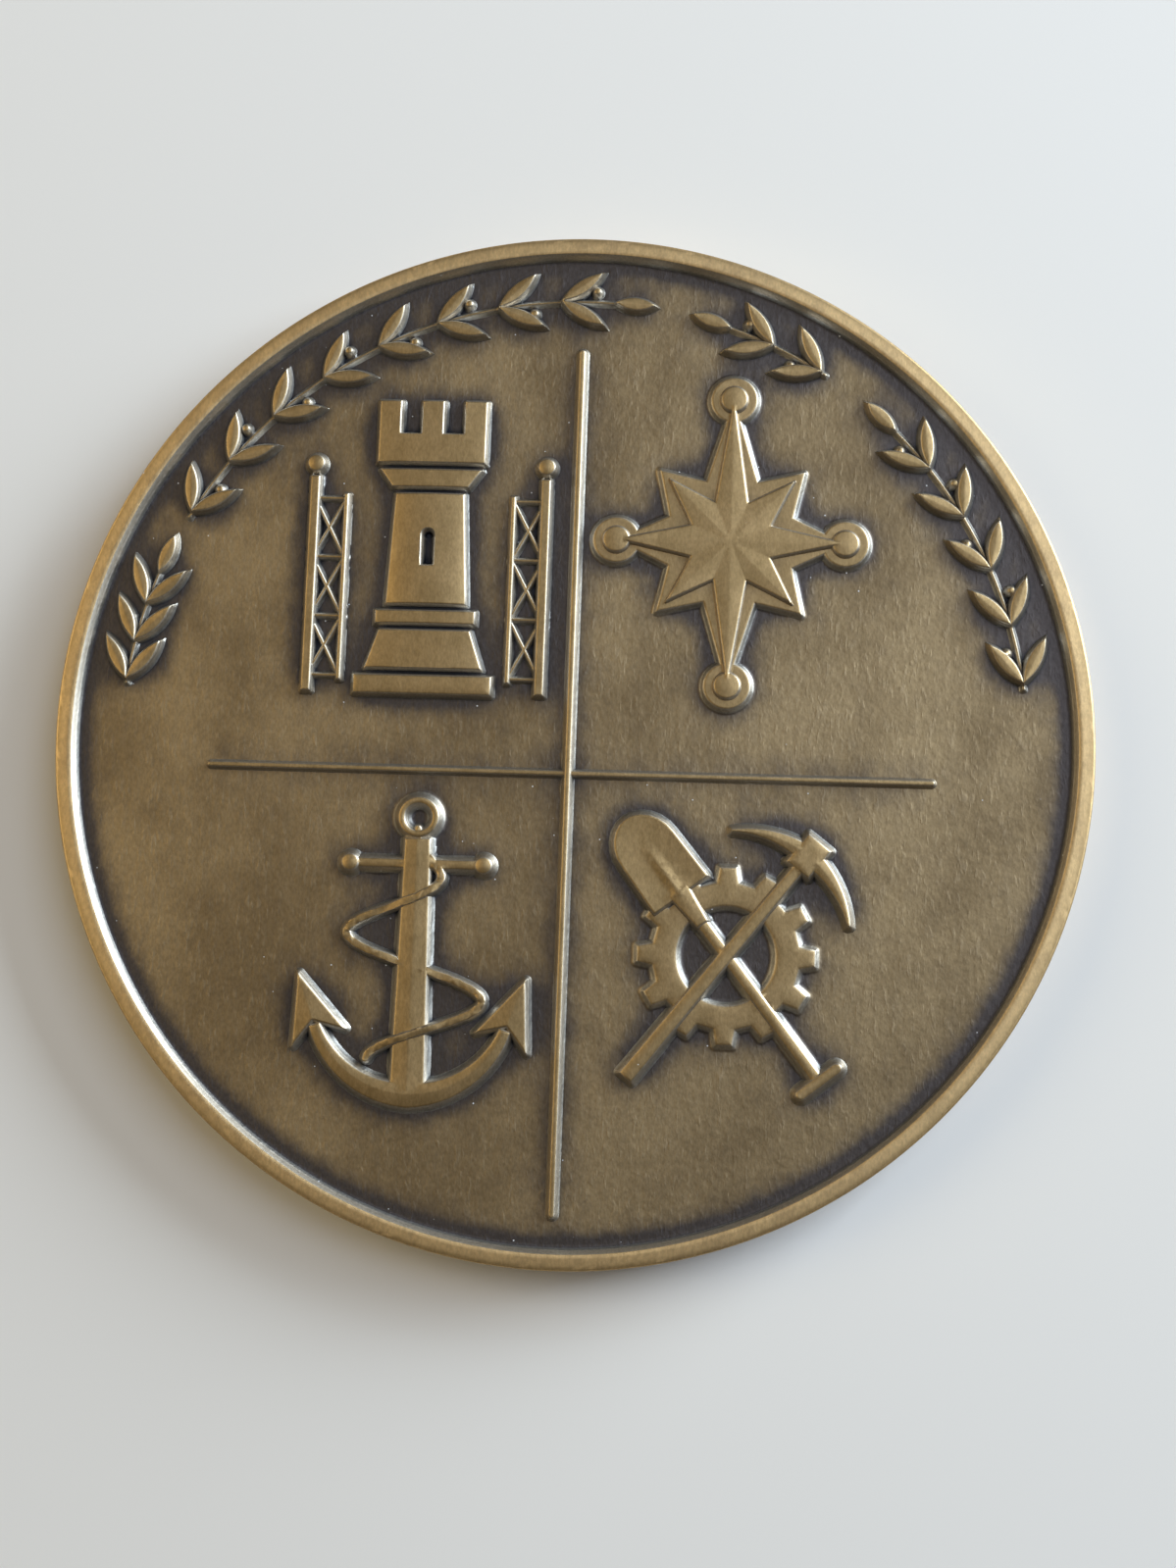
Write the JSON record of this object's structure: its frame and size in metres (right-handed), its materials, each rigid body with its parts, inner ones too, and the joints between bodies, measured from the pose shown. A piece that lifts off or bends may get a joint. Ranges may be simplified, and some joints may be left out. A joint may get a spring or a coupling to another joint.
{
  "type": "challenge coin",
  "caption": "Round struck bronze table medal with a raised rim, a quartered obverse of relief emblems under a laurel arch, and a wreathed reverse.",
  "frame": {"origin": "centre of the flat reverse rim, where the medal rests", "axes": "+Z out of the obverse, +Y to the top of the obverse design, +X to its right"},
  "size_m": [0.07, 0.07, 0.0045],
  "materials": {
    "bronze": "satin"
  },
  "bodies": {
    "root": {"medal": "bronze"}
  },
  "joints": []
}
